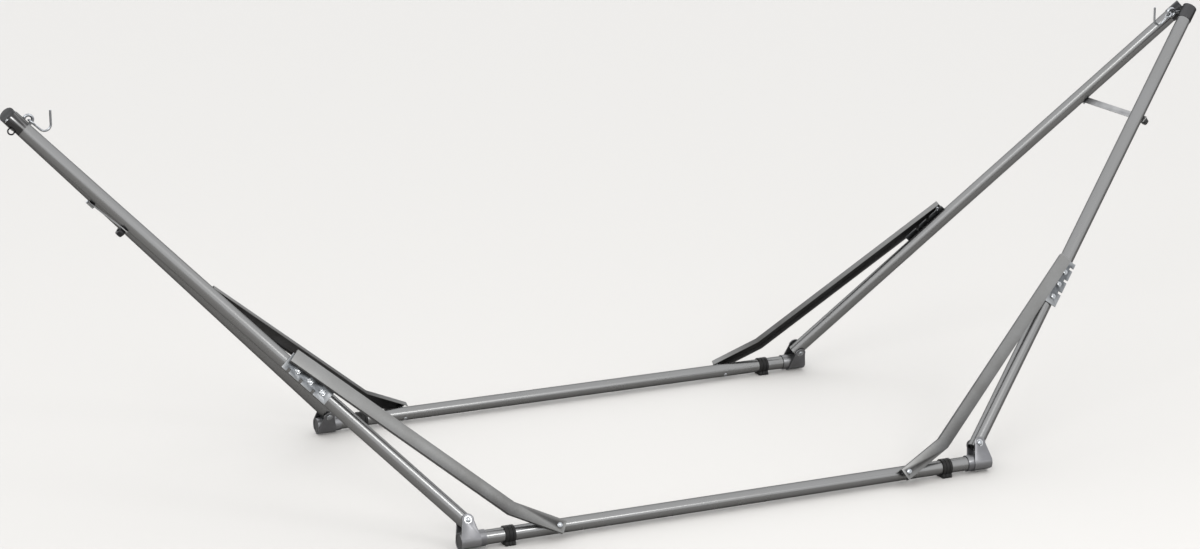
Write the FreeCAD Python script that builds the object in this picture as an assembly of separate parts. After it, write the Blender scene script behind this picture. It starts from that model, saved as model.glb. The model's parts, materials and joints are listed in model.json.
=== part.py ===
"""Folding hammock stand: two leaning side frames that meet at an eye bolt at each end.

Lengths are in millimetres. +X runs along the stand, +Z is up and the origin is on the floor at the centre.
Each side frame is drawn flat in its own axes: u along the rail, v up the frame, o outboard of it.
The back frame is the front frame turned half a turn about Z.
"""

import FreeCAD, Part
import math
import os

from FreeCAD import Matrix, Vector

# Driving dimensions of the whole stand
PIN_HALF = 738.0  # centre of the stand to an arm's pivot
APEX_HALF = 1710.0  # centre of the stand to the arms' ends
RAIL_HALF = 541.5  # centre of the stand to a rail's axis
LEAN = math.radians(25.9)  # each side frame from upright
HINGE_ROOM = 5.0  # an arm tube's surface to the closing axis
ARM_CLEAR = 7.2  # an arm tube's surface to the rail's sleeve, when the arm lies along the rail
FLOOR_CLEAR = 8.0  # floor to a rail's surface

# Tubes
TUBE_R = 19.0
TUBE_WALL = 1.5
RAIL_OVERHANG = 22.0  # rail past the arm's pivot
ARM_TAIL = 13.0  # arm past its own pivot

# Saddle brackets
SLEEVE_WALL = 2.5
SLEEVE_OUT = 26.0
SLEEVE_IN = 43.0
EAR_GAP = 2.5  # arm tube to an ear, each side
EAR_THICK = 3.0
EAR_BASE = 53.0
EAR_TOP_R = 16.0
PIN_R = 5.0
RIVET_HEAD_R = 8.0
RIVET_HEAD = 3.5
HEAD_GAP = 0.5  # an ear to a rivet's head, which leaves room for the tilted one
RUNNING = 0.05  # radial clearance of a turning pin
TOE = math.radians(-2.6)  # tilt of the pivot that carries its arm clear of the other one
FOLD_REST = math.radians(4.0)  # a folded arm above the rail

# Foot collars and plugs
COLLAR_IN = 108.0  # an arm's pivot to a collar's middle, along the rail
COLLAR_WIDTH = 28.0
COLLAR_WALL = 4.0
PAD_WIDTH = 36.0
PAD_SHOULDER = 0.9  # half the pad's width at the rail, in ring radii
PLUG_LIP = 4.0
PLUG_DEPTH = 18.0
PLUG_GAP = 0.1  # a plug's lip to the sleeve round it

# Braces: channels with the web outboard
FOOT_IN = 235.0  # an arm's pivot to its brace's foot, along the rail
FOOT_RISE = -2.0
BEND_IN = 116.0
BEND_RISE = 59.0
BRACE_STUD_ALONG = 585.0  # arm pivot to the stud, along the arm
BRACE_STUD_OFF = 17.5  # arm axis to the stud, on the side that faces in
BRACE_WIDTH = 34.0
BRACE_SHEET = 2.0
BRACE_GAP = 4.0  # a tube's surface to the flanges' edges
BRACE_DEPTH = 16.0  # flanges' edges to the web's outer face
BRACE_END = 15.0  # channel past its end holes
BRACE_PIN_R = 4.0
INNER_HEAD_R = 6.0  # a foot rivet's head on the rail's inboard side
INNER_HEAD = 3.0
STUD_R = 4.0
STUD_GAP = 0.4  # a stud's end to the arm tube
WASHER_GAP = 1.0  # a stud's washer to the flanges' edges
SPACER_R = 8.0

# Catch plates
PLATE_FROM = 462.0
PLATE_TO = 604.0
PLATE_LOW = -24.0
PLATE_HIGH = 25.0
PLATE_THICK = 3.0
TOOTH_SLOT = 8.0  # width of a slot in the plate's low edge, under each notch
TOOTH_DEEP = 11.0
NOTCH_PITCH = 40.0
NOTCH_COUNT = 3
NOTCH_CLEARANCE = 0.4
NOTCH_LEAN = math.radians(52.0)  # way out of a notch, from the arm
BOLTS_ALONG = (484.0, 525.0, 566.0)
BOLT_OFF = -5.0
BOLT_R = 3.0
BOLT_HEAD_R = 6.5
BOLT_HEAD = 4.5
BOLT_DEPTH = 6.0  # a catch bolt's end inside the arm

# Arm caps, knuckles and eye bolts
CAP_WALL = 1.5
CAP_SKIRT = 20.0
CAP_CORE = 20.0  # arm end back to the tube's end
CAP_LIP = 4.0
TIE_LOOP_R = 8.0  # moulded loop under a plain arm's end
TIE_LOOP_WIRE_R = 2.0
TIE_LOOP_IN = 20.0  # arm's end to the loop's centre
TIE_LOOP_SUNK = 2.5  # how far the loop's ring reaches into the cap
KNUCKLE_R = 8.0
KNUCKLE_NEAR = (-16.0, -8.0)  # along X from the arm's end, on the arm that keeps the eye bolt
KNUCKLE_FAR = (-6.0, 2.0)
KNUCKLE_GAP = 0.7
BOLT_EYE_R = 4.0
EYE_REACH = 46.0  # arm's end to the eye's centre
EYE_R = 11.0
EYE_WIRE_R = 4.0
NUT_R = 7.0
NUT_THICK = 6.0
NUT_PROUD = 2.0  # eye bolt past its nut

# Hooks, in the upright plane through both eyes
HOOK_SLOPE = math.radians(44.0)
HOOK_LOOP_R = 9.0
HOOK_LOOP_WIRE_R = 3.2
HOOK_SHANK = 40.0  # eye's centre to the bend
HOOK_WIRE_R = 3.0
HOOK_BEND_R = 16.0
HOOK_TURN = math.radians(134.0)
HOOK_TIP = 36.0
HOOK_ROUND = 0.6  # rounding of the tip, in wire radii

# Cross straps
STRAP_ALONG = 1120.0
STRAP_WIDTH = 18.0
STRAP_THICK = 2.5
STRAP_GAP = 0.4
STRAP_END = 15.0
CURL_R = 4.0  # the strap's end, curled round its hinge pin
HINGE_PIN_R = 2.0
HINGE_EAR = 2.5
HINGE_SIDE = 0.5  # strap to a hinge ear
KNOB_R = 13.0
KNOB_HEIGHT = 17.0
KNOB_STUD_R = 4.0

# Worked out from the sizes above
HINGE_OFFSET = TUBE_R + HINGE_ROOM
PIN_RISE = 2 * TUBE_R + SLEEVE_WALL + ARM_CLEAR
RAIL_HEIGHT = TUBE_R + FLOOR_CLEAR
COLLAR_AT = PIN_HALF - COLLAR_IN
BRACE_FOOT = (PIN_HALF - FOOT_IN, FOOT_RISE)
BRACE_BEND = (PIN_HALF - BEND_IN, BEND_RISE)
BRACE_INNER = TUBE_R + BRACE_GAP
BRACE_OUTER = BRACE_INNER + BRACE_DEPTH
STUD_INNER = TUBE_R + STUD_GAP
APEX_RISE = (RAIL_HALF - HINGE_OFFSET / math.cos(LEAN)) / math.tan(LEAN)
APEX_V = (APEX_RISE + HINGE_OFFSET * math.sin(LEAN)) / math.cos(LEAN)
ARM_LENGTH = math.hypot(APEX_HALF - PIN_HALF, APEX_V - PIN_RISE)
ARM_ANGLE = math.atan2(APEX_V - PIN_RISE, APEX_HALF - PIN_HALF)
EAR_IN = TUBE_R + EAR_GAP
EAR_OUT = EAR_IN + EAR_THICK
RAIL_END = PIN_HALF + RAIL_OVERHANG
CAP_R = TUBE_R + CAP_WALL
U = Vector(1, 0, 0)
V = Vector(0, 1, 0)
O = Vector(0, 0, 1)

PARTS = {}


def rod(radius, start, way, length):
    """A round bar from start along way."""
    return Part.makeCylinder(radius, length, start, way)


def pipe(outer, inner, start, way, length):
    """A round tube from start along way."""
    return rod(outer, start, way, length).cut(rod(inner, start, way, length))


def block(low, high):
    """A box between two corners."""
    size = high - low
    return Part.makeBox(size.x, size.y, size.z, low)


def plate(points, low, high):
    """A flat plate with the given outline in the frame's plane, between two levels of o."""
    corners = [Vector(x, y, low) for x, y in points]
    face = Part.Face(Part.makePolygon(corners + corners[:1]))
    return face.extrude(Vector(0, 0, high - low))


def frame_matrix(frame):
    """Carries a shape from the flat frame's axes to the stand."""
    lean = Matrix(
        1, 0, 0, 0,
        0, math.sin(LEAN), -math.cos(LEAN), -RAIL_HALF,
        0, math.cos(LEAN), math.sin(LEAN), RAIL_HEIGHT,
        0, 0, 0, 1,
    )
    if frame == "back":
        turn = Matrix()
        turn.rotateZ(math.pi)
        return turn.multiply(lean)
    return lean


def arm_matrix():
    """Carries a shape from an arm's own axes, with x along it from its pivot, to the flat frame's right side."""
    turn = Matrix()
    turn.rotateZ(ARM_ANGLE)
    turn.move(Vector(PIN_HALF, PIN_RISE, 0))
    return turn


def on_arm(shape):
    """Moves a shape drawn on the arm's axes to the flat frame."""
    return shape.transformed(arm_matrix())


def on_side(shape, side):
    """Mirrors a shape from the flat frame's right side to its left side when side is -1."""
    return shape if side > 0 else shape.mirror(Vector(0, 0, 0), U)


def keep(name, frame, shapes):
    """Puts finished solids of the flat frame in their place under one name."""
    placed = [shape.transformed(frame_matrix(frame)) for shape in shapes]
    PARTS[name] = placed[0] if len(placed) == 1 else Part.makeCompound(placed)


def world_end(frame, side):
    """left or right on the stand, for one side of one frame."""
    return "right" if (side > 0) == (frame == "front") else "left"


def pivot_way(side):
    """The arm pivot's direction on the flat frame's right side. The left arm's is square to the frame."""
    if side < 0:
        return O
    open_way = arm_way()
    shut_way = Vector(-math.cos(FOLD_REST), math.sin(FOLD_REST), 0)
    across = (open_way - shut_way).normalize()
    return (O * math.cos(TOE) + across * math.sin(TOE)).normalize()


def pivot_rod(side, radius, reach):
    """A bar on the arm's pivot axis, reaching the same way past the frame's plane on both sides."""
    way = pivot_way(side)
    return rod(radius, Vector(PIN_HALF, PIN_RISE, 0) - way * reach, way, 2 * reach)


def rail():
    """The bottom tube, with holes for the brace rivets."""
    body = pipe(TUBE_R, TUBE_R - TUBE_WALL, Vector(-RAIL_END, 0, 0), U, 2 * RAIL_END)
    for side in (-1, 1):
        start = Vector(side * BRACE_FOOT[0], BRACE_FOOT[1], -2 * TUBE_R)
        body = body.cut(rod(BRACE_PIN_R, start, O, 4 * TUBE_R))
    return body


def rail_plug():
    """The plastic plug in a rail's end."""
    head = rod(TUBE_R - PLUG_GAP, Vector(RAIL_END, 0, 0), U, PLUG_LIP)
    stem = rod(TUBE_R - TUBE_WALL, Vector(RAIL_END - PLUG_DEPTH, 0, 0), U, PLUG_DEPTH)
    return head.fuse(stem).removeSplitter()


def ear_outline():
    """Two slanted edges tangent to a round top, as a face in the frame's plane."""
    top = Vector(PIN_HALF, PIN_RISE, EAR_IN)
    half = EAR_BASE / 2
    span = math.hypot(half, PIN_RISE)
    swing = math.acos(EAR_TOP_R / span) - math.atan2(PIN_RISE, half)
    touch = Vector(math.cos(swing), -math.sin(swing), 0) * EAR_TOP_R
    left = top + Vector(-touch.x, touch.y, 0)
    right = top + touch
    foot_left = Vector(PIN_HALF - half, 0, EAR_IN)
    foot_right = Vector(PIN_HALF + half, 0, EAR_IN)
    edges = [
        Part.LineSegment(foot_left, foot_right).toShape(),
        Part.LineSegment(foot_right, right).toShape(),
        Part.Arc(right, top + V * EAR_TOP_R, left).toShape(),
        Part.LineSegment(left, foot_left).toShape(),
    ]
    return Part.Face(Part.Wire(edges))


def bracket(side):
    """A sleeve round the rail with an ear on each side of the arm."""
    start = Vector(PIN_HALF - SLEEVE_IN, 0, 0)
    length = SLEEVE_IN + SLEEVE_OUT
    outer = TUBE_R + SLEEVE_WALL
    body = rod(outer, start, U, length)
    ear = ear_outline().extrude(Vector(0, 0, EAR_THICK))
    foot = block(
        Vector(PIN_HALF - EAR_BASE / 2, -outer, 0), Vector(PIN_HALF + EAR_BASE / 2, 0, EAR_OUT)
    )
    foot = foot.common(rod(EAR_OUT, start, U, length))
    half = ear.fuse(foot)
    body = body.fuse([half, half.mirror(Vector(0, 0, 0), O)])
    body = body.cut(rod(TUBE_R, start, U, length))
    swept = rod(EAR_IN, Vector(PIN_HALF, PIN_RISE, -EAR_IN), O, 2 * EAR_IN)
    body = body.cut(swept.common(block(Vector(0, TUBE_R + SLEEVE_WALL, -EAR_IN),
                                       Vector(2 * PIN_HALF, 2 * PIN_HALF, EAR_IN))))
    return body.cut(pivot_rod(side, PIN_R, 2 * EAR_OUT)).removeSplitter()


def arm_rivet(side):
    """The rivet through both ears and the arm."""
    way = pivot_way(side)
    centre = Vector(PIN_HALF, PIN_RISE, 0)
    body = pivot_rod(side, PIN_R, EAR_OUT + RIVET_HEAD / 2)
    for end in (-1, 1):
        start = centre + way * (end * (EAR_OUT + HEAD_GAP))
        head = rod(RIVET_HEAD_R, start, way * end, RIVET_HEAD)
        body = body.fuse(head)
    return body.removeSplitter()


def collar():
    """A rubber ring round the rail with a flat pad on the floor."""
    outer = TUBE_R + COLLAR_WALL
    start = Vector(COLLAR_AT - COLLAR_WIDTH / 2, 0, 0)
    down = Vector(0, -math.cos(LEAN), -math.sin(LEAN))
    across = Vector(0, -math.sin(LEAN), math.cos(LEAN))
    half = PAD_WIDTH / 2
    corners = [
        start + across * outer * PAD_SHOULDER,
        start + across * half + down * RAIL_HEIGHT,
        start - across * half + down * RAIL_HEIGHT,
        start - across * outer * PAD_SHOULDER,
    ]
    pad = Part.Face(Part.makePolygon(corners + corners[:1])).extrude(U * COLLAR_WIDTH)
    body = rod(outer, start, U, COLLAR_WIDTH).fuse(pad)
    return body.cut(rod(TUBE_R, start, U, COLLAR_WIDTH)).removeSplitter()


def brace_rivet():
    """The rivet through the rail that a brace turns on, with its spacer against the rail."""
    foot = Vector(BRACE_FOOT[0], BRACE_FOOT[1], 0)
    inner = foot - O * (TUBE_R + INNER_HEAD)
    web_in = BRACE_OUTER - BRACE_SHEET
    body = rod(BRACE_PIN_R, inner, O, BRACE_OUTER + RIVET_HEAD - inner.z)
    body = body.fuse(rod(RIVET_HEAD_R, foot + O * (BRACE_OUTER + RUNNING), O, RIVET_HEAD))
    spacer = rod(SPACER_R, foot, O, web_in - RUNNING)
    spacer = spacer.cut(rod(TUBE_R, Vector(0, 0, 0), U, RAIL_END))
    return body.fuse([spacer, rod(INNER_HEAD_R, inner, O, INNER_HEAD)]).removeSplitter()


def stud_place():
    """The brace's stud, in the flat frame."""
    return arm_matrix().multVec(Vector(BRACE_STUD_ALONG, BRACE_STUD_OFF, 0))


def strip(start, end, before, after, width, low, high):
    """A straight bar from one point to another in the frame's plane, with extra length at its ends."""
    way = (end - start).normalize()
    across = Vector(-way.y, way.x, 0) * (width / 2)
    first = start - way * before
    last = end + way * after
    outline = [first - across, last - across, last + across, first + across]
    return plate([(p.x, p.y) for p in outline], low, high)


def brace():
    """A bent channel, with its web outboard and its flanges facing the frame."""
    foot = Vector(BRACE_FOOT[0], BRACE_FOOT[1], 0)
    bend = Vector(BRACE_BEND[0], BRACE_BEND[1], 0)
    stud = stud_place()
    outer_w = BRACE_WIDTH
    inner_w = BRACE_WIDTH - 2 * BRACE_SHEET
    web_in = BRACE_OUTER - BRACE_SHEET
    solid = strip(foot, bend, BRACE_END, 0, outer_w, BRACE_INNER, BRACE_OUTER)
    solid = solid.fuse(strip(bend, stud, 0, BRACE_END, outer_w, BRACE_INNER, BRACE_OUTER))
    solid = solid.fuse(rod(outer_w / 2, bend + O * BRACE_INNER, O, BRACE_DEPTH))
    room = strip(foot, bend, 2 * outer_w, 0, inner_w, BRACE_INNER, web_in)
    room = room.fuse(strip(bend, stud, 0, 2 * BRACE_END, inner_w, BRACE_INNER, web_in))
    room = room.fuse(rod(inner_w / 2, bend + O * BRACE_INNER, O, web_in - BRACE_INNER))
    body = solid.cut(room)
    return body.cut(rod(BRACE_PIN_R + RUNNING, foot, O, 2 * BRACE_OUTER)).removeSplitter()


def brace_stud():
    """The stud inside a brace's top, which sits in a notch of the catch plate."""
    stud = stud_place()
    web_in = BRACE_OUTER - BRACE_SHEET
    body = rod(STUD_R, stud + O * STUD_INNER, O, web_in - STUD_INNER)
    collar_in = BRACE_INNER + WASHER_GAP
    return body.fuse(rod(RIVET_HEAD_R, stud + O * collar_in, O, web_in - collar_in)).removeSplitter()


def arm_tube(side):
    """An arm's tube, with its pivot hole and its catch plate's bolt holes."""
    start = Vector(-ARM_TAIL, 0, 0)
    length = ARM_LENGTH - CAP_CORE + ARM_TAIL
    body = on_arm(pipe(TUBE_R, TUBE_R - TUBE_WALL, start, U, length))
    for along in BOLTS_ALONG:
        body = body.cut(on_arm(rod(BOLT_R, Vector(along, BOLT_OFF, 0), O, 2 * TUBE_R)))
    return body.cut(pivot_rod(side, PIN_R + RUNNING, 2 * TUBE_R))


def notch(at):
    """The room of one notch of the catch plate."""
    radius = STUD_R + NOTCH_CLEARANCE
    seat = Vector(at, BRACE_STUD_OFF, TUBE_R)
    way = Vector(math.cos(NOTCH_LEAN), math.sin(NOTCH_LEAN), 0)
    far = seat + way * (3 * PLATE_HIGH)
    return rod(radius, seat, O, PLATE_THICK).fuse(
        strip(seat, far, 0, 0, 2 * radius, TUBE_R, TUBE_R + PLATE_THICK)
    )


def catch_plate():
    """The notched plate on an arm's outboard side."""
    body = block(
        Vector(PLATE_FROM, PLATE_LOW, TUBE_R), Vector(PLATE_TO, PLATE_HIGH, TUBE_R + PLATE_THICK)
    )
    for count in range(NOTCH_COUNT):
        at = BRACE_STUD_ALONG - count * NOTCH_PITCH
        slot = block(
            Vector(at - TOOTH_SLOT / 2, PLATE_LOW, TUBE_R),
            Vector(at + TOOTH_SLOT / 2, PLATE_LOW + TOOTH_DEEP, TUBE_R + PLATE_THICK),
        )
        body = body.cut(notch(at)).cut(slot)
    for along in BOLTS_ALONG:
        body = body.cut(rod(BOLT_R, Vector(along, BOLT_OFF, 0), O, 2 * TUBE_R))
    return on_arm(body)


def catch_bolt(along):
    """A bolt through the catch plate into the arm."""
    top = TUBE_R + PLATE_THICK
    shank = rod(BOLT_R, Vector(along, BOLT_OFF, TUBE_R - BOLT_DEPTH), O, PLATE_THICK + BOLT_DEPTH)
    corners = [
        (along + BOLT_HEAD_R * math.cos(k * math.pi / 3), BOLT_OFF + BOLT_HEAD_R * math.sin(k * math.pi / 3))
        for k in range(6)
    ]
    return on_arm(shank.fuse(plate(corners, top, top + BOLT_HEAD)))


def apex_span(span, spare):
    """Where a knuckle lies along u, on the flat frame's right side, with spare room at both ends."""
    return APEX_HALF + span[0] - spare, APEX_HALF + span[1] + spare


def apex_rod(radius, low, high):
    """A bar on the closing axis, between two values of u."""
    return rod(radius, Vector(low, APEX_V, -HINGE_OFFSET), U, high - low)


def cap(side):
    """An arm's plastic end with its half of the hinge between the frames."""
    own = KNUCKLE_NEAR if side < 0 else KNUCKLE_FAR
    other = KNUCKLE_FAR if side < 0 else KNUCKLE_NEAR
    start = Vector(ARM_LENGTH - CAP_CORE - CAP_SKIRT, 0, 0)
    body = on_arm(rod(CAP_R, start, U, CAP_SKIRT + CAP_CORE + CAP_LIP))
    low, high = apex_span(other, KNUCKLE_GAP)
    body = body.cut(apex_rod(KNUCKLE_R + KNUCKLE_GAP, low, high))
    everything = APEX_HALF + EYE_REACH
    body = body.cut(apex_rod(BOLT_EYE_R + KNUCKLE_GAP, PIN_HALF, everything))
    low, high = apex_span(own, 0)
    web = block(
        Vector(low, APEX_V - KNUCKLE_R, -HINGE_OFFSET), Vector(high, APEX_V + KNUCKLE_R, -TUBE_R / 2)
    )
    body = body.fuse([apex_rod(KNUCKLE_R, low, high), web])
    body = body.cut(on_arm(rod(TUBE_R, start - U * ARM_LENGTH, U, CAP_SKIRT + ARM_LENGTH)))
    bore = BOLT_EYE_R if side < 0 else BOLT_EYE_R + RUNNING
    body = body.cut(apex_rod(bore, low, high))
    nut_low, nut_high = nut_span()
    spare = KNUCKLE_GAP
    room = apex_rod(NUT_R + spare, nut_low - spare, nut_high + 4 * CAP_R)
    body = body.cut(room)
    if side < 0:
        body = body.fuse(tie_loop())
    return body.removeSplitter()


def tie_loop():
    """The moulded loop under the end of a plain arm, clear of the arm's tube."""
    drop = CAP_R + TIE_LOOP_R - TIE_LOOP_SUNK
    ring = torus(Vector(ARM_LENGTH - TIE_LOOP_IN, -drop, 0), O, TIE_LOOP_R, TIE_LOOP_WIRE_R)
    return on_arm(ring.cut(rod((TUBE_R + CAP_R) / 2, Vector(0, 0, 0), U, 2 * ARM_LENGTH)))


def nut_span():
    """Where the eye bolt's nut lies along u."""
    low = APEX_HALF + KNUCKLE_FAR[1] + KNUCKLE_GAP
    return low, low + NUT_THICK


def apex_place():
    """The closing axis at the right-hand end, on the stand."""
    return Vector(APEX_HALF, 0, RAIL_HEIGHT + APEX_RISE)


def eye_place():
    """The centre of the eye at the right-hand end."""
    return apex_place() - U * EYE_REACH


def torus(centre, axis, ring, wire):
    """A ring of round wire."""
    return Part.makeTorus(ring, wire, centre, axis)


def eye_bolt():
    """The eye bolt on the closing axis at the right-hand end."""
    eye = eye_place()
    start = eye + U * EYE_R
    shank = rod(BOLT_EYE_R, start, U, EYE_REACH - EYE_R + nut_span()[1] + NUT_PROUD - APEX_HALF)
    return shank.fuse(torus(eye, V, EYE_R, EYE_WIRE_R)).removeSplitter()


def eye_nut():
    """The nut on the eye bolt's outer end."""
    low, high = nut_span()
    centre = apex_place()
    corners = [
        Vector(low, NUT_R * math.cos(k * math.pi / 3), centre.z + NUT_R * math.sin(k * math.pi / 3))
        for k in range(7)
    ]
    body = Part.Face(Part.makePolygon(corners)).extrude(U * (high - low))
    return body.cut(rod(BOLT_EYE_R, Vector(low, 0, centre.z), U, high - low))


def hook():
    """The J-hook that hangs in the right-hand eye, in the upright plane along the stand."""
    eye = eye_place()
    way = Vector(-math.cos(HOOK_SLOPE), 0, -math.sin(HOOK_SLOPE))
    left = Vector(-math.sin(HOOK_SLOPE), 0, math.cos(HOOK_SLOPE))
    loop = torus(eye + way * EYE_R, left, HOOK_LOOP_R, HOOK_LOOP_WIRE_R)
    first = eye + way * (EYE_R + HOOK_LOOP_R)
    tangent = eye + way * HOOK_SHANK
    centre = tangent + left * HOOK_BEND_R

    shank = rod(HOOK_WIRE_R, first, way, HOOK_SHANK - EYE_R - HOOK_LOOP_R)
    section = Part.Face(Part.Wire([Part.makeCircle(HOOK_WIRE_R, tangent, way)]))
    bend = section.revolve(centre, way.cross(left), math.degrees(HOOK_TURN))
    end = centre + (way * math.sin(HOOK_TURN) - left * math.cos(HOOK_TURN)) * HOOK_BEND_R
    tip_way = way * math.cos(HOOK_TURN) + left * math.sin(HOOK_TURN)
    tip = rod(HOOK_WIRE_R, end, tip_way, HOOK_TIP)
    tip = tip.makeFillet(HOOK_WIRE_R * HOOK_ROUND, [e for e in tip.Edges if is_far_rim(e, end + tip_way * HOOK_TIP)])
    return shank.fuse(bend).fuse(tip).fuse(loop).removeSplitter()


def is_far_rim(edge, centre):
    """True for the round edge of a bar's end at the given centre."""
    return edge.Curve.TypeId == "Part::GeomCircle" and edge.Curve.Center.distanceToPoint(centre) < HOOK_WIRE_R


def strap_axes():
    """The strap's end under the back arm at the right-hand end, and its thickness and width directions."""
    flat = arm_matrix().multVec(Vector(STRAP_ALONG, 0, 0))
    front = frame_matrix("front").multVec(flat)
    way = frame_matrix("front").multVec(flat + arm_way()) - front
    under = way.cross(V).normalize() * -1
    across = under.cross(V).normalize()
    back = Vector(front.x, -front.y, front.z)
    return back, under, across


def arm_way():
    """An arm's direction on the flat frame's right side."""
    return Vector(math.cos(ARM_ANGLE), math.sin(ARM_ANGLE), 0)


def back_way():
    """The back arm's direction on the stand, at the right-hand end."""
    flat = arm_way()
    return Vector(flat.x, flat.y * -math.sin(LEAN), flat.y * math.cos(LEAN))


def hinge_pin():
    """The centre of a strap's hinge pin, under the back arm of the right-hand end."""
    back, under, _ = strap_axes()
    return back + under * (TUBE_R + STRAP_GAP + CURL_R)


def strap():
    """The flat strap under the two arms of the right-hand end, with its back end curled round a pin."""
    back, under, across = strap_axes()
    half = across * (STRAP_WIDTH / 2)
    near = back + under * (TUBE_R + STRAP_GAP)
    far = Vector(near.x, -back.y - STRAP_END, near.z)
    corners = [near - half, far - half, far + half, near + half]
    body = Part.Face(Part.makePolygon(corners + corners[:1])).extrude(under * STRAP_THICK)
    body = body.fuse(rod(CURL_R, hinge_pin() - half, across, STRAP_WIDTH))
    body = body.cut(rod(HINGE_PIN_R + RUNNING, hinge_pin() - half, across, STRAP_WIDTH))
    knob_end = Vector(near.x, -back.y, near.z)
    return body.cut(rod(KNOB_STUD_R, knob_end, under, STRAP_THICK)).removeSplitter()


def strap_hinge():
    """The two ears and the pin that carry a strap, under the back arm of the right-hand end."""
    back, under, across = strap_axes()
    pin = hinge_pin()
    inner = STRAP_WIDTH / 2 + HINGE_SIDE
    body = rod(HINGE_PIN_R, pin - across * (inner + HINGE_EAR), across, 2 * (inner + HINGE_EAR))
    for side in (-1, 1):
        foot = pin + across * (side * inner)
        out = across * (side * HINGE_EAR)
        top = foot - under * (TUBE_R + STRAP_GAP + CURL_R)
        corners = [foot - V * CURL_R, foot + V * CURL_R, top + V * CURL_R, top - V * CURL_R]
        leaf = Part.Face(Part.makePolygon(corners + corners[:1])).extrude(out)
        body = body.fuse([leaf, rod(CURL_R, foot, across * side, HINGE_EAR)])
    reach = STRAP_ALONG / 2
    tube = rod(TUBE_R, back - back_way() * reach, back_way(), 2 * reach)
    return body.cut(tube).removeSplitter()


def knob():
    """The knob at a strap's front end, with its short stud through the strap."""
    back, under, _ = strap_axes()
    front = Vector(back.x, -back.y, back.z)
    top = TUBE_R + STRAP_GAP
    body = rod(KNOB_R, front + under * (top + STRAP_THICK), under, KNOB_HEIGHT)
    return body.fuse(rod(KNOB_STUD_R, front + under * top, under, STRAP_THICK)).removeSplitter()


def build_frame(frame):
    """Everything of one side frame."""
    both = (-1, 1)
    keep(frame + "_rail", frame, [rail()])
    keep(frame + "_rail_plugs", frame, [on_side(rail_plug(), s) for s in both])
    keep(frame + "_foot_collars", frame, [on_side(collar(), s) for s in both])
    keep(frame + "_brackets", frame, [on_side(bracket(s), s) for s in both])
    keep(frame + "_arm_rivets", frame, [on_side(arm_rivet(s), s) for s in both])
    keep(frame + "_brace_rivets", frame, [on_side(brace_rivet(), s) for s in both])
    for side in both:
        end = frame + "_" + world_end(frame, side)
        keep(end + "_arm", frame, [on_side(arm_tube(side), side)])
        keep(end + "_arm_cap", frame, [on_side(cap(side), side)])
        keep(end + "_catch_plate", frame, [on_side(catch_plate(), side)])
        keep(end + "_catch_bolts", frame, [on_side(catch_bolt(a), side) for a in BOLTS_ALONG])
        keep(end + "_brace", frame, [on_side(brace(), side)])
        keep(end + "_brace_stud", frame, [on_side(brace_stud(), side)])


def build_ends():
    """The eye bolts, hooks and straps at both ends."""
    for side, end in ((1, "right"), (-1, "left")):
        PARTS[end + "_eye_bolt"] = on_side(eye_bolt(), side)
        PARTS[end + "_eye_nut"] = on_side(eye_nut(), side)
        PARTS[end + "_hook"] = on_side(hook(), side)
        PARTS[end + "_strap"] = on_side(strap(), side)
        PARTS[end + "_strap_hinge"] = on_side(strap_hinge(), side)
        PARTS[end + "_strap_knob"] = on_side(knob(), side)


def main():
    """Builds every part and writes one STEP file each."""
    os.makedirs("parts", exist_ok=True)
    for frame in ("front", "back"):
        build_frame(frame)
    build_ends()
    for name, shape in PARTS.items():
        shape.exportStep("parts/" + name + ".step")
        print(name, len(shape.Solids), round(shape.Volume), shape.isValid())


main()
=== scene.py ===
"""Visual model of a folding hammock stand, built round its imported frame.

The stand is powder-coated steel tube with channel braces, zinc-plated catch plates and fixings, and
moulded black plugs, collars and knobs. Profiles, outlines and the sizes of the stand's own pieces are
in millimetres. Places, and the sizes of the studio, are in metres.
"""

from __future__ import annotations

import json
import logging
import math
from dataclasses import dataclass, field
from enum import Enum
from typing import Any, Iterable, Sequence

import bmesh
import bpy
from mathutils import Matrix, Vector

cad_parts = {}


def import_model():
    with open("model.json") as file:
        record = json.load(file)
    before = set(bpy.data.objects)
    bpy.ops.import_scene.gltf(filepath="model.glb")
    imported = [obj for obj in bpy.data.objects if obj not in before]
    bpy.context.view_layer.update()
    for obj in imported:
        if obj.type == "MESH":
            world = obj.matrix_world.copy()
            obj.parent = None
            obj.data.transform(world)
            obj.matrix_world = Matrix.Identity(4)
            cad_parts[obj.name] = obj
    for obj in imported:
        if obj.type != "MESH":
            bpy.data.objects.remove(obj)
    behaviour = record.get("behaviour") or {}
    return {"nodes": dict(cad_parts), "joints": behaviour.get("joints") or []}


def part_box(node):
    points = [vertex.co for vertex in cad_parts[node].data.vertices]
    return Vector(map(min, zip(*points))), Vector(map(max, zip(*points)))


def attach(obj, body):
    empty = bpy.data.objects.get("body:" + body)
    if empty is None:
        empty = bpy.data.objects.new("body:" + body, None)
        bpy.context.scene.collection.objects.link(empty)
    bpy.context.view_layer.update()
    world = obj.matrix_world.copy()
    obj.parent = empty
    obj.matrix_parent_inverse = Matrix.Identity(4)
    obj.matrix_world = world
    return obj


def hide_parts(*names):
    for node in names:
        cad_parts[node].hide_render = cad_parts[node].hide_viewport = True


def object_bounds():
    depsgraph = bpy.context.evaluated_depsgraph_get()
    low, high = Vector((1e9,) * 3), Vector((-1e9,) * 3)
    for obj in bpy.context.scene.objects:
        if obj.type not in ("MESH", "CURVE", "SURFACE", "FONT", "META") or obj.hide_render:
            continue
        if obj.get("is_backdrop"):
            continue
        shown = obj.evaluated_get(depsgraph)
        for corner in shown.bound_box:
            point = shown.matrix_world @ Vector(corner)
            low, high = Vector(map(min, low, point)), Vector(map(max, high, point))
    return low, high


LOG = logging.getLogger("hammock_stand")
MM = 0.001
FRAMES = ("front", "back")
ENDS = ("left", "right")
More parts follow.
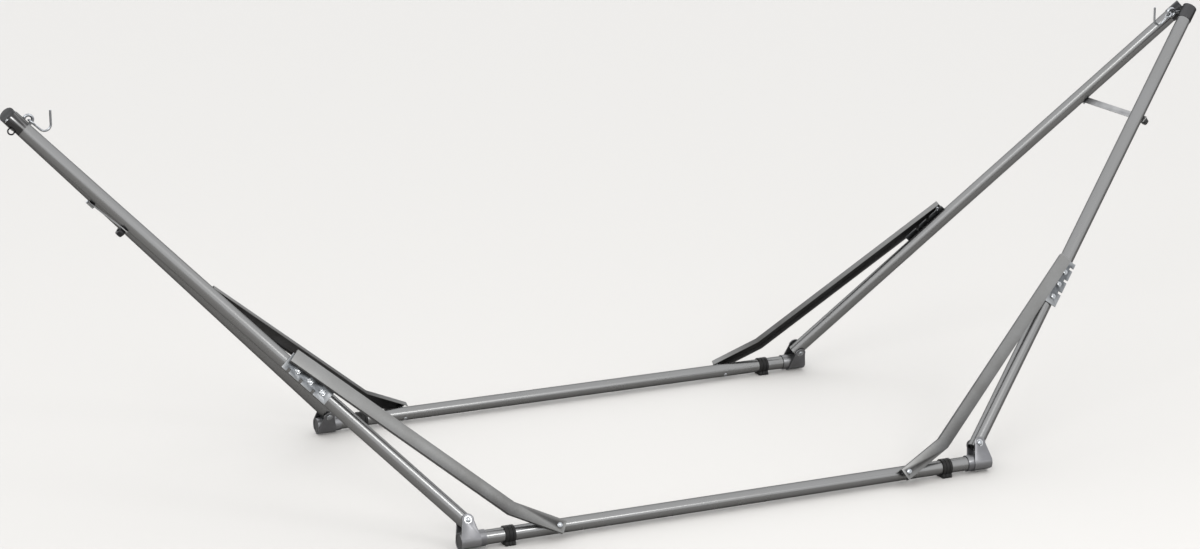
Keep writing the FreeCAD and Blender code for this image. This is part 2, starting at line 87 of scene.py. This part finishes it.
# Points nearer than this are one point, and faces nearer to flat than this are one face.
WELD = 0.01 * MM
FLAT = math.radians(0.4)
# Edges sharper than these are bevelled, or kept as a line in the shading.
HARD_EDGE = math.radians(38)
SHADING_EDGE = math.radians(35)
BEVEL_SEGMENTS = 2
DOME_STEPS = 6
BUMP_STRENGTH = 0.6
COAT_ROUGHNESS = 0.25


class Grain(Enum):
    """How a surface's fine pattern is made."""

    NOISE = "ShaderNodeTexNoise"
    CELLS = "ShaderNodeTexVoronoi"


def linear(code: str) -> tuple[float, float, float, float]:
    """Turns an sRGB hex colour to linear light.

    Args:
        code: Six hex digits, with or without a leading #.

    Returns:
        Linear red, green and blue with an alpha of one.
    """
    digits = code.lstrip("#")
    parts = [int(digits[i:i + 2], 16) / 255 for i in (0, 2, 4)]
    bent = [c / 12.92 if c <= 0.04045 else ((c + 0.055) / 1.055) ** 2.4 for c in parts]
    return (bent[0], bent[1], bent[2], 1.0)


def add_node(tree: bpy.types.NodeTree, kind: str, settings: dict[str, Any] | None = None,
             links: dict[str, bpy.types.NodeSocket] | None = None) -> bpy.types.Node:
    """Adds one node with its settings and its incoming links.

    Args:
        tree: The node tree that gets the node.
        kind: The node's type name.
        settings: Values by input name, or by attribute where the node has no such input.
        links: Output sockets by the input that each one feeds.

    Returns:
        The new node.
    """
    node = tree.nodes.new(kind)
    for name, value in (settings or {}).items():
        if name in node.inputs:
            node.inputs[name].default_value = value
        else:
            setattr(node, name, value)
    for name, socket in (links or {}).items():
        tree.links.new(socket, node.inputs[name])
    return node


@dataclass(frozen=True)
class Finish:
    """A surface: its colours, how rough it is, and the two scales of pattern on it."""

    name: str
    slot: str
    base: str
    worn: str
    metallic: float
    roughness: float
    roughness_swing: float
    grain_mm: float
    grain_depth_mm: float
    cloud_mm: float
    grain: Grain = Grain.NOISE
    grain_colour: float = 0.0
    coat: float = 0.0
    specular: float = 0.5
    rim: str = "#ffffff"
    edge_wear: float = 0.0
    edge: str = "#b9b9b6"

    def material(self) -> bpy.types.Material:
        """Builds the finish as a material once, and finds it again after that.

        Returns:
            The material.
        """
        found = bpy.data.materials.get(self.name)
        if found:
            return found
        made = bpy.data.materials.new(self.name)
        made.use_nodes = True
        tree = made.node_tree
        tree.nodes.clear()
        place = add_node(tree, "ShaderNodeTexCoord").outputs["Object"]
        cloud = add_node(tree, "ShaderNodeTexNoise",
                         {"Scale": 1 / (self.cloud_mm * MM), "Detail": 5.0, "Roughness": 0.6},
                         {"Vector": place})
        grain = self.grain_node(tree, place)
        colour = self.colour_node(tree, cloud, grain)
        rough = add_node(tree, "ShaderNodeMapRange",
                         {"To Min": self.roughness - self.roughness_swing,
                          "To Max": self.roughness + self.roughness_swing},
                         {"Value": cloud.outputs[0]})
        bump = add_node(tree, "ShaderNodeBump",
                        {"Strength": BUMP_STRENGTH, "Distance": self.grain_depth_mm * MM},
                        {"Height": grain})
        shader = add_node(tree, "ShaderNodeBsdfPrincipled",
                          {"Metallic": self.metallic, "Coat Weight": self.coat,
                           "Coat Roughness": COAT_ROUGHNESS, "Specular IOR Level": self.specular,
                           "Specular Tint": linear(self.rim)},
                          {"Base Color": colour, "Roughness": rough.outputs[0],
                           "Normal": bump.outputs[0]})
        add_node(tree, "ShaderNodeOutputMaterial", None, {"Surface": shader.outputs[0]})
        return made

    def grain_node(self, tree: bpy.types.NodeTree,
                   place: bpy.types.NodeSocket) -> bpy.types.NodeSocket:
        """Adds the fine pattern.

        Args:
            tree: The material's node tree.
            place: The socket of the surface's own coordinates.

        Returns:
            The pattern's height.
        """
        settings: dict[str, Any] = {"Scale": 1 / (self.grain_mm * MM)}
        if self.grain is Grain.NOISE:
            settings.update({"Detail": 3.0, "Roughness": 0.55})
        return add_node(tree, self.grain.value, settings, {"Vector": place}).outputs[0]

    def colour_node(self, tree: bpy.types.NodeTree, cloud: bpy.types.Node,
                    grain: bpy.types.NodeSocket) -> bpy.types.NodeSocket:
        """Mixes the base and worn colours by the cloud, then the grain and the worn edges.

        Args:
            tree: The material's node tree.
            cloud: The node of the coarse pattern.
            grain: The height of the fine pattern.

        Returns:
            The surface colour's socket.
        """
        spread = add_node(tree, "ShaderNodeMapRange", {"From Min": 0.35, "From Max": 0.65},
                          {"Value": cloud.outputs[0]})
        colour = add_node(tree, "ShaderNodeMixRGB",
                          {"Color1": linear(self.base), "Color2": linear(self.worn)},
                          {"Fac": spread.outputs[0]}).outputs[0]
        if self.grain_colour:
            shade = add_node(tree, "ShaderNodeMapRange",
                             {"From Min": 0.3, "From Max": 0.7, "To Min": 1 - self.grain_colour,
                              "To Max": 1 + self.grain_colour}, {"Value": grain})
            colour = add_node(tree, "ShaderNodeHueSaturation", None,
                              {"Color": colour, "Value": shade.outputs[0]}).outputs[0]
        if self.edge_wear:
            point = add_node(tree, "ShaderNodeNewGeometry").outputs["Pointiness"]
            rim = add_node(tree, "ShaderNodeMapRange",
                           {"From Min": 0.53, "From Max": 0.62, "To Max": self.edge_wear},
                           {"Value": point})
            colour = add_node(tree, "ShaderNodeMixRGB", {"Color2": linear(self.edge)},
                              {"Fac": rim.outputs[0], "Color1": colour}).outputs[0]
        return colour


# Metallic powder coat on drawn tube: a satin gunmetal, with a faint flop from the flake. The flake
# itself is about 0.1 mm and is drawn at 1.2 mm so that it shows.
TUBE_COAT = Finish(
    "tube_powder_coat", "frame_paint", base="#2b2b2d", worn="#232221", metallic=0.92,
    roughness=0.27, roughness_swing=0.04, grain_mm=1.2, grain_depth_mm=0.02, cloud_mm=160.0,
    coat=0.05, edge_wear=0.5, edge="#8d8d8c", rim="#8a8a8a")
# Hammer-tone coat on pressed channel: rougher than the tube's, and mottled every 4 mm or so.
BRACE_COAT = Finish(
    "brace_hammer_coat", "brace_steel", base="#393939", worn="#2f2e2d", metallic=0.75,
    roughness=0.42, roughness_swing=0.06, grain_mm=4.0, grain_depth_mm=0.10, cloud_mm=60.0,
    grain_colour=0.16, edge_wear=0.7, edge="#b2b2b0", rim="#9a9a9a")
# Powder coat on welded plate, the frame's own paint with a smoother face than the drawn tube's. Its
# colours are painted paler than the tube's: painted light, a painted reflection standing for the
# bright shine on the brackets' flat ears.
PAINTED_LIGHT_BRACKET_COAT = Finish(
    "bracket_coat_painted_light", "frame_paint", base="#5e5e60", worn="#535354", metallic=0.85,
    roughness=0.33, roughness_swing=0.05, grain_mm=1.5, grain_depth_mm=0.02, cloud_mm=55.0,
    coat=0.05, edge_wear=0.7, edge="#a2a2a1", rim="#9a9a9a")
# Zinc plate on steel: cool, with fairly sharp reflections.
ZINC_PLATE = Finish(
    "zinc_plate", "zinc", base="#8a8c8e", worn="#747678", metallic=1.0,
    roughness=0.24, roughness_swing=0.06, grain_mm=2.5, grain_depth_mm=0.01, cloud_mm=9.0,
    grain_colour=0.05, edge_wear=0.3, edge="#cfcfcd")
# Zinc on pressed plate: duller, with the spangle of the bath in cells of about 5 mm.
ZINC_PRESSING = Finish(
    "zinc_pressing", "zinc", base="#505254", worn="#434547", metallic=1.0,
    roughness=0.36, roughness_swing=0.06, grain_mm=5.0, grain_depth_mm=0.01, cloud_mm=14.0,
    grain=Grain.CELLS, grain_colour=0.10, edge_wear=0.6, edge="#b4b5b5")
# Injection-moulded nylon: near black with a spark-eroded texture, drawn at 0.8 mm so that it shows.
MOULDED_NYLON = Finish(
    "moulded_nylon", "black_plastic", base="#0d0d0e", worn="#141415", metallic=0.0,
    roughness=0.42, roughness_swing=0.06, grain_mm=0.8, grain_depth_mm=0.03, cloud_mm=25.0,
    edge_wear=0.25, edge="#2a2a2b", specular=0.22)
# Moulded rubber: black, duller than the nylon, with a little dust.
FOOT_RUBBER = Finish(
    "foot_rubber", "black_rubber", base="#0a0a0a", worn="#121110", metallic=0.0,
    roughness=0.62, roughness_swing=0.08, grain_mm=1.1, grain_depth_mm=0.05, cloud_mm=18.0,
    edge_wear=0.2, edge="#201f1e", specular=0.18)
# Powder coat on flat steel bar, paler than the tube's.
BAR_COAT = Finish(
    "bar_powder_coat", "strap_steel", base="#7c7c7c", worn="#6c6c6d", metallic=0.7,
    roughness=0.38, roughness_swing=0.05, grain_mm=1.4, grain_depth_mm=0.03, cloud_mm=45.0,
    edge_wear=0.6, edge="#b2b2b0", rim="#9a9a9a")


def aim(origin: Vector, way: Vector) -> Matrix:
    """A place whose Z runs along a direction.

    Args:
        origin: Where it is.
        way: The direction.

    Returns:
        The matrix of the place.
    """
    return Matrix.Translation(origin) @ way.to_track_quat("Z", "Y").to_matrix().to_4x4()


def smooth(piece: bpy.types.Object) -> None:
    """Shades a piece smooth, with its sharp edges kept.

    Args:
        piece: The piece.
    """
    mesh = piece.data
    mesh.polygons.foreach_set("use_smooth", [True] * len(mesh.polygons))
    work = bmesh.new()
    work.from_mesh(mesh)
    for edge in work.edges:
        edge.smooth = len(edge.link_faces) == 2 and edge.calc_face_angle(0.0) < SHADING_EDGE
    work.to_mesh(mesh)
    work.free()


def as_object(name: str, work: bmesh.types.BMesh, finish: Finish) -> bpy.types.Object:
    """Makes a scene object of a finished mesh.

    Args:
        name: The piece's name.
        work: Its mesh, which is freed.
        finish: Its finish.

    Returns:
        The object.
    """
    bmesh.ops.recalc_face_normals(work, faces=work.faces)
    mesh = bpy.data.meshes.new(name)
    work.to_mesh(mesh)
    work.free()
    piece = bpy.data.objects.new(name, mesh)
    bpy.context.scene.collection.objects.link(piece)
    mesh.materials.append(finish.material())
    smooth(piece)
    return piece


def turned(work: bmesh.types.BMesh, place: Matrix, profile: Sequence[tuple[float, float]],
           steps: int = 48) -> None:
    """Adds a turned solid to a mesh.

    Args:
        work: The mesh.
        place: The place whose Z is the axis.
        profile: Radius and height pairs in millimetres, from the axis back to the axis.
        steps: How many sides it has.
    """
    rings = []
    for radius, height in profile:
        if radius == 0:
            rings.append([work.verts.new(place @ Vector((0, 0, height * MM)))])
            continue
        ring = []
        for k in range(steps):
            turn = 2 * math.pi * k / steps
            spot = Vector((radius * math.cos(turn), radius * math.sin(turn), height)) * MM
            ring.append(work.verts.new(place @ spot))
        rings.append(ring)
    for low, high in zip(rings, rings[1:]):
        for k in range(steps):
            after = (k + 1) % steps
            corners = [low[k % len(low)], low[after % len(low)],
                       high[after % len(high)], high[k % len(high)]]
            unique = list(dict.fromkeys(corners))
            if len(unique) > 2:
                work.faces.new(unique)


def dome(radius: float, height: float, base: float) -> list[tuple[float, float]]:
    """The profile of a domed rivet head, from its rim to its crown.

    Args:
        radius: The head's radius in millimetres.
        height: The crown's height over the base in millimetres.
        base: The base's height in millimetres.

    Returns:
        Radius and height pairs in millimetres.
    """
    rim_share = 0.25
    points = [(radius, base), (radius, base + rim_share * height)]
    for k in range(1, DOME_STEPS + 1):
        turn = math.pi / 2 * k / DOME_STEPS
        rise = rim_share + (1 - rim_share) * math.sin(turn)
        points.append((radius * math.cos(turn), base + height * rise))
    points[-1] = (0.0, base + height)
    return points


def prism(work: bmesh.types.BMesh, place: Matrix, outline: Iterable[tuple[float, float]],
          low: float, high: float, edge: float) -> None:
    """Adds a prism with softened rims to a mesh.

    Args:
        work: The mesh.
        place: Its place, with the outline in X and Y.
        outline: Corners in millimetres.
        low: The lower face in millimetres.
        high: The upper face in millimetres.
        edge: How wide the rims' bevel is, in millimetres.
    """
    part = bmesh.new()
    foot = [part.verts.new(Vector((x, y, low)) * MM) for x, y in outline]
    face = part.faces.new(foot)
    grown = bmesh.ops.extrude_face_region(part, geom=[face])["geom"]
    moved = [item for item in grown if isinstance(item, bmesh.types.BMVert)]
    bmesh.ops.translate(part, vec=Vector((0, 0, (high - low) * MM)), verts=moved)
    bmesh.ops.recalc_face_normals(part, faces=part.faces)
    bmesh.ops.bevel(part, geom=list(part.edges), offset=edge * MM, segments=BEVEL_SEGMENTS,
                    profile=0.5, affect="EDGES", clamp_overlap=True)
    part.transform(place)
    spare = bpy.data.meshes.new("spare")
    part.to_mesh(spare)
    part.free()
    work.from_mesh(spare)
    bpy.data.meshes.remove(spare)


def hexagon(across: float) -> list[tuple[float, float]]:
    """A hexagon's corners from its size across flats, in millimetres."""
    radius = across / math.sqrt(3)
    return [(radius * math.cos(k * math.pi / 3), radius * math.sin(k * math.pi / 3))
            for k in range(6)]


def soft_copy(node: str, width_mm: float) -> bmesh.types.BMesh:
    """A mesh like a node's with its hard edges rounded.

    Args:
        node: The node's name.
        width_mm: How wide the rounding is.

    Returns:
        The mesh.
    """
    work = bmesh.new()
    work.from_mesh(FRAME.nodes[node].data)
    bmesh.ops.remove_doubles(work, verts=work.verts, dist=WELD)
    bmesh.ops.dissolve_limit(work, angle_limit=FLAT, verts=work.verts, edges=work.edges)
    sharp = [edge for edge in work.edges
             if len(edge.link_faces) == 2 and edge.calc_face_angle(0.0) > HARD_EDGE]
    bmesh.ops.bevel(work, geom=sharp, offset=width_mm * MM, segments=BEVEL_SEGMENTS,
                    profile=0.5, affect="EDGES", clamp_overlap=True)
    return work


def softened(node: str, width_mm: float, finish: Finish, body: str) -> None:
    """Adds a copy of a node with its hard edges rounded, which stands for the node.

    Args:
        node: The node's name.
        width_mm: How wide the rounding is.
        finish: Its finish.
        body: The body that it rides on.
    """
    piece = as_object(node + "_finished", soft_copy(node, width_mm), finish)
    settle(piece, body, node)


def settle(piece: bpy.types.Object, body: str, node: str) -> None:
    """Rides a piece on its body and hides the node that it stands for.

    Args:
        piece: The piece.
        body: The body that it rides on.
        node: The node that it stands for.
    """
    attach(piece, body)
    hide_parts(node)
    LOG.info("%s rides on %s", piece.name, body)


class Frame:
    """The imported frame: its nodes, its joints and the directions worked out from them."""

    def __init__(self) -> None:
        """Loads the frame."""
        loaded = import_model()
        self.nodes: dict[str, bpy.types.Object] = loaded["nodes"]
        self.joints = {joint["name"]: joint for joint in loaded["joints"]}
        self.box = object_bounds()

    def pivot(self, joint: str) -> Vector:
        """A point on a joint's axis."""
        return Vector(self.joints[joint]["pos_m"])

    def axis(self, joint: str) -> Vector:
        """A joint's direction."""
        return Vector(self.joints[joint]["axis"]).normalized()

    def outboard(self, frame: str) -> Vector:
        """The direction square to a side frame, away from the stand's middle."""
        way = self.axis(f"{frame}_{self.plain_end(frame)}_arm_fold")
        return way if way.z > 0 else -way

    @staticmethod
    def plain_end(frame: str) -> str:
        """The end whose arm folds square to its frame."""
        return "left" if frame == "front" else "right"

    def dress(self, node: str, finish: Finish) -> None:
        """Gives a node that keeps its shape its finish.

        Args:
            node: The node's name.
            finish: Its finish.
        """
        mesh = self.nodes[node].data
        mesh.materials.clear()
        mesh.materials.append(finish.material())
        mesh.polygons.foreach_set("material_index", [0] * len(mesh.polygons))


FRAME: Frame


@dataclass
class SideFrame:
    """One rail with its plugs, foot collars, brackets and rivets."""

    name: str
    plug_r: float = 19.0
    plug_lip: float = 4.0
    ring_r: float = 22.5
    ring_half: float = 14.0
    head_r: float = 8.0
    head: float = 3.3
    ear_out: float = 24.7
    web_out: float = 39.1
    pad_inset: float = 5.0

    @property
    def body(self) -> str:
        """The body that all of it rides on."""
        return self.name + "_base"

    def build(self) -> None:
        """Builds and dresses every piece of the side frame."""
        FRAME.dress(self.name + "_rail", TUBE_COAT)
        # The brackets' coat is painted paler than the tube's: a painted reflection on their faces.
        softened(self.name + "_brackets", 0.7, PAINTED_LIGHT_BRACKET_COAT, self.body)
        self.plugs()
        self.collars()
        self.arm_rivets()
        self.brace_rivets()

    def rail_line(self) -> tuple[Vector, float]:
        """The rail's centre and half its length."""
        low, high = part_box(self.name + "_rail")
        return (low + high) / 2, (high.x - low.x) / 2

    def plugs(self) -> None:
        """Turned plugs with a rounded lip and a sunk middle."""
        centre, half = self.rail_line()
        work = bmesh.new()
        rim = self.plug_r
        lip = self.plug_lip
        profile = [(0, -16), (15.5, -16), (16.6, -14), (17.4, -2), (17.4, 0), (rim - 0.4, 0),
                   (rim, 0.6), (rim, lip - 1.2), (rim - 1.2, lip), (rim - 3.5, lip),
                   (rim - 4.5, lip - 0.8), (0, lip - 0.8)]
        for side in (-1, 1):
            end = centre + Vector((side * half, 0, 0))
            turned(work, aim(end, Vector((side, 0, 0))), profile)
        piece = as_object(self.name + "_end_plugs", work, MOULDED_NYLON)
        settle(piece, self.body, self.name + "_rail_plugs")

    def collars(self) -> None:
        """Rubber collars with two grooves round them and a ribbed pad on the floor."""
        low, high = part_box(self.name + "_foot_collars")
        centre, _ = self.rail_line()
        work = bmesh.new()
        wide = self.ring_half
        ring = self.ring_r
        bore = self.plug_r + 0.05
        profile = [(bore, -wide), (ring - 0.8, -wide), (ring, -wide + 0.8)]
        for groove in (-5.0, 5.0):
            profile += [(ring, groove - 1.6), (ring - 1.2, groove - 0.9),
                        (ring - 1.2, groove + 0.9), (ring, groove + 1.6)]
        profile += [(ring, wide - 0.8), (ring - 0.8, wide), (bore, wide), (bore, -wide)]
        pad_half = (high.y - low.y) / 2 / MM - self.pad_inset
        drop = centre.z / MM
        outline = [(-pad_half, -drop), (pad_half, -drop), (pad_half, -drop + 4), (15.0, -12.5),
                   (12.5, -18.5), (-12.5, -18.5), (-15.0, -12.5), (-pad_half, -drop + 4)]
        along_rail = Matrix(((0, 0, 1, 0), (1, 0, 0, 0), (0, 1, 0, 0), (0, 0, 0, 1)))
        rib = 2 * wide / 3
        gap = 0.6
        for side in (-1, 1):
            middle = Vector((side * (high.x - wide * MM), centre.y, centre.z))
            turned(work, aim(middle, Vector((1, 0, 0))), profile)
            place = Matrix.Translation(middle) @ along_rail
            for start in (-wide, -wide / 3 + gap, wide / 3 + gap):
                prism(work, place, outline, start, start + rib - gap, 0.7)
        piece = as_object(self.name + "_rubber_collars", work, FOOT_RUBBER)
        settle(piece, self.body, self.name + "_foot_collars")

    def arm_rivets(self) -> None:
        """Domed rivets through the brackets' ears, on thin washers."""
        work = bmesh.new()
        out = self.ear_out
        washer_r = self.head_r + 1.4
        for end in ENDS:
            joint = f"{self.name}_{end}_arm_fold"
            way = FRAME.axis(joint)
            for side in (-1, 1):
                place = aim(FRAME.pivot(joint), way * side)
                turned(work, place, [(0, out - 0.6), (washer_r, out - 0.6), (washer_r, out),
                                     (0, out)])
                turned(work, place, [(0, out)] + dome(self.head_r - 0.6, self.head, out))
            shank = [(0, -24), (5, -24), (5, 24), (0, 24)]
            turned(work, aim(FRAME.pivot(joint), way), shank, 32)
        piece = as_object(self.name + "_ear_rivets", work, ZINC_PLATE)
        settle(piece, self.body, self.name + "_arm_rivets")

    def brace_rivets(self) -> None:
        """Domed rivets at the braces' feet, with their spacers."""
        work = bmesh.new()
        way = FRAME.outboard(self.name)
        centre, _ = self.rail_line()
        head_r = self.head_r - 0.4
        inner_head = [(0, -21.9), (3, -21.6), (5, -20.8), (6, -19.6), (6, -19), (4, -19)]
        spacer = [(4, 18.4), (7.2, 18.9), (8, 20.2), (8, 35.6), (7.2, 36.9), (4, 36.9)]
        outer_head = [(4, self.web_out)] + dome(head_r, self.head, self.web_out)
        for end in ENDS:
            pivot = FRAME.pivot(f"{self.name}_{end}_brace_fold")
            level = (pivot - centre).dot(way)
            place = aim(pivot - way * level, way)
            turned(work, place, inner_head + spacer + outer_head)
        piece = as_object(self.name + "_foot_rivets", work, ZINC_PLATE)
        settle(piece, self.body, self.name + "_brace_rivets")


@dataclass
class Arm:
    """One arm with its cap, catch plate and bolts."""

    frame: str
    end: str
    tube_r: float = 19.0
    plate: float = 3.0
    washer_r: float = 7.4
    washer: float = 0.9
    head_across: float = 12.0
    head: float = 3.4

    @property
    def name(self) -> str:
        """The arm's name, which is its body's name without _arm."""
        return f"{self.frame}_{self.end}"

    def build(self) -> None:
        """Builds and dresses every piece of the arm."""
        body = self.name + "_arm"
        FRAME.dress(body, TUBE_COAT)
        self.cap()
        softened(self.name + "_catch_plate", 0.5, ZINC_PRESSING, body)
        self.catch_bolts()

    def cap(self) -> None:
        """Its cap: coated like the tube on the front frame, and black nylon on the back one."""
        finish = TUBE_COAT if self.frame == "front" else MOULDED_NYLON
        softened(self.name + "_arm_cap", 0.9, finish, self.name + "_arm")

    def catch_bolts(self) -> None:
        """Hexagon bolts with washers and a slightly domed top, through the catch plate."""
        out = FRAME.outboard(self.frame)
        seat = self.tube_r + self.plate
        face = seat + self.washer
        crown = face + self.head - 0.3
        work = bmesh.new()
        for spot in islands(FRAME.nodes[self.name + "_catch_bolts"]):
            level = (spot - FRAME.pivot(self.name + "_arm_fold")).dot(out)
            place = aim(spot - out * level, out)
            turned(work, place, [(0, seat - 9), (3, seat - 9), (3, seat), (self.washer_r, seat),
                                 (self.washer_r, face), (0, face)], 32)
            prism(work, place, hexagon(self.head_across), face, face + self.head, 0.5)
            turned(work, place, [(0, crown)] + dome(4.0, 0.7, crown), 24)
        piece = as_object(self.name + "_plate_bolts", work, ZINC_PLATE)
        settle(piece, self.name + "_arm", self.name + "_catch_bolts")


def islands(node: bpy.types.Object) -> list[Vector]:
    """The box centres of a node's separate solids.

    Args:
        node: The node.

    Returns:
        One centre for each solid.
    """
    work = bmesh.new()
    work.from_mesh(node.data)
    bmesh.ops.remove_doubles(work, verts=work.verts, dist=WELD)
    left = set(work.verts)
    centres = []
    while left:
        group = set()
        waiting = [left.pop()]
        while waiting:
            vert = waiting.pop()
            group.add(vert.co.copy().freeze())
            for link in vert.link_edges:
                other = link.other_vert(vert)
                if other in left:
                    left.discard(other)
                    waiting.append(other)
        low = Vector([min(co[k] for co in group) for k in range(3)])
        high = Vector([max(co[k] for co in group) for k in range(3)])
        centres.append((low + high) / 2)
    work.free()
    return centres


@dataclass
class Brace:
    """One channel brace with its stud."""

    frame: str
    end: str

    def build(self) -> None:
        """Builds and dresses the brace."""
        name = f"{self.frame}_{self.end}_brace"
        softened(name, 0.9, BRACE_COAT, name)
        softened(name + "_stud", 0.7, ZINC_PLATE, name)


@dataclass
class EndFitting:
    """The eye bolt, nut, hook and cross strap of one end."""

    end: str
    knob_lobes: int = 6
    lobe_depth: float = 0.11
    lobed_from_r: float = 8.0
    knob_steps: int = 72

    def build(self) -> None:
        """Builds and dresses every piece of the end."""
        holder = ("front_left" if self.end == "left" else "back_right") + "_arm"
        FRAME.dress(self.end + "_eye_bolt", ZINC_PLATE)
        softened(self.end + "_eye_nut", 0.5, ZINC_PLATE, holder)
        FRAME.dress(self.end + "_hook", ZINC_PLATE)
        softened(self.end + "_strap", 0.6, BAR_COAT, self.end + "_strap")
        softened(self.end + "_strap_hinge", 0.4, ZINC_PLATE, f"back_{self.end}_arm")
        self.knob()

    def knob(self) -> None:
        """A lobed knob with a domed top and a stem."""
        name = self.end + "_strap_knob"
        low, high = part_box(name)
        axis = FRAME.axis(self.end + "_strap_swing")
        down = axis if axis.z < 0 else -axis
        work = bmesh.new()
        place = aim((low + high) / 2, down)
        steps = self.knob_steps
        # Height and radius in millimetres, from the stem to the crown.
        levels = [(-9.7, 4.0), (-7.3, 4.0), (-7.2, 9.0), (-6.4, 11.4), (-4.0, 12.6), (3.0, 13.0),
                  (6.5, 12.4), (8.6, 10.6), (9.4, 7.0), (9.6, 3.0)]
        rings = []
        for height, radius in levels:
            ring = []
            for k in range(steps):
                turn = 2 * math.pi * k / steps
                depth = self.lobe_depth if radius > self.lobed_from_r else 0.0
                reach = radius * (1 - depth * (0.5 - 0.5 * math.cos(self.knob_lobes * turn)))
                spot = Vector((reach * math.cos(turn), reach * math.sin(turn), height)) * MM
                ring.append(work.verts.new(place @ spot))
            rings.append(ring)
        for lower, upper in zip(rings, rings[1:]):
            for k in range(steps):
                after = (k + 1) % steps
                work.faces.new((lower[k], lower[after], upper[after], upper[k]))
        work.faces.new(list(reversed(rings[0])))
        work.faces.new(rings[-1])
        piece = as_object(self.end + "_lobed_knob", work, MOULDED_NYLON)
        settle(piece, self.end + "_strap", name)


@dataclass
class Studio:
    """The pale floor, the soft lights and the camera."""

    camera_at: Vector = field(default_factory=lambda: Vector((-3.551, -7.724, 2.716)))
    azimuth: float = 23.886
    elevation: float = 14.586
    roll: float = -0.549
    lens: float = 97.42
    floor_half: float = 30.0
    floor_colour: str = "#9c9a97"
    sky_colour: str = "#f2f3f5"
    sky_strength: float = 2.5

    def build(self) -> None:
        """Builds the studio."""
        self.floor()
        self.sky()
        self.lights()
        self.camera()

    def floor(self) -> None:
        """A wide pale floor."""
        work = bmesh.new()
        bmesh.ops.create_grid(work, x_segments=1, y_segments=1, size=self.floor_half)
        made = bpy.data.materials.new("studio_floor")
        made.use_nodes = True
        shader = made.node_tree.nodes["Principled BSDF"]
        shader.inputs["Base Color"].default_value = linear(self.floor_colour)
        shader.inputs["Roughness"].default_value = 0.8
        mesh = bpy.data.meshes.new("floor")
        work.to_mesh(mesh)
        work.free()
        mesh.materials.append(made)
        floor = bpy.data.objects.new("floor", mesh)
        bpy.context.scene.collection.objects.link(floor)
        floor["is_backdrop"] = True

    def sky(self) -> None:
        """Even pale light from all round."""
        world = bpy.data.worlds.new("studio")
        world.use_nodes = True
        back = world.node_tree.nodes["Background"]
        back.inputs["Color"].default_value = linear(self.sky_colour)
        back.inputs["Strength"].default_value = self.sky_strength
        bpy.context.scene.world = world
        bpy.context.scene.view_settings.view_transform = "Standard"

    def lights(self) -> None:
        """A long soft box above the camera, and a small one at the front left bracket."""
        self.soft_box("over", Vector((-5.6, -6.6, 6.2)), Vector((0, 0, 0.4)), (5.0, 1.6), 420.0)
        self.soft_box("front", Vector((1.0, -4.2, 2.9)), Vector((-0.7, -0.6, 0.2)), (1.2, 1.0),
                      60.0)

    @staticmethod
    def soft_box(name: str, at: Vector, target: Vector, size: tuple[float, float],
                 power: float) -> None:
        """Adds one area light.

        Args:
            name: Its name.
            at: Where it is.
            target: What it points at.
            size: Its two sides.
            power: Its watts.
        """
        lamp = bpy.data.lights.new(name, "AREA")
        lamp.shape = "RECTANGLE"
        lamp.size, lamp.size_y = size
        lamp.energy = power
        holder = bpy.data.objects.new(name, lamp)
        holder.location = at
        holder.rotation_euler = (target - at).to_track_quat("-Z", "Y").to_euler()
        bpy.context.scene.collection.objects.link(holder)

    def camera(self) -> None:
        """A long lens from the front left, a little above the stand."""
        swing, tilt, roll = (math.radians(v) for v in (self.azimuth, self.elevation, self.roll))
        ahead = Vector((math.sin(swing) * math.cos(tilt), math.cos(swing) * math.cos(tilt),
                        -math.sin(tilt)))
        right = ahead.cross(Vector((0, 0, 1))).normalized()
        up = right.cross(ahead)
        across = right * math.cos(roll) + up * math.sin(roll)
        above = up * math.cos(roll) - right * math.sin(roll)
        data = bpy.data.cameras.new("camera")
        data.lens = self.lens
        data.sensor_width = 36.0
        data.clip_end = 100.0
        holder = bpy.data.objects.new("camera", data)
        turn = Matrix((across, above, -ahead)).transposed().to_4x4()
        holder.matrix_world = Matrix.Translation(self.camera_at) @ turn
        bpy.context.scene.collection.objects.link(holder)
        bpy.context.scene.camera = holder


def main() -> None:
    """Loads the frame and builds each sub-assembly and the studio."""
    global FRAME
    logging.basicConfig(level=logging.INFO, format="%(name)s: %(message)s")
    FRAME = Frame()
    Studio().build()
    for frame in FRAMES:
        SideFrame(frame).build()
        for end in ENDS:
            Arm(frame, end).build()
            Brace(frame, end).build()
    for end in ENDS:
        EndFitting(end).build()


if __name__ == "__main__":
    main()
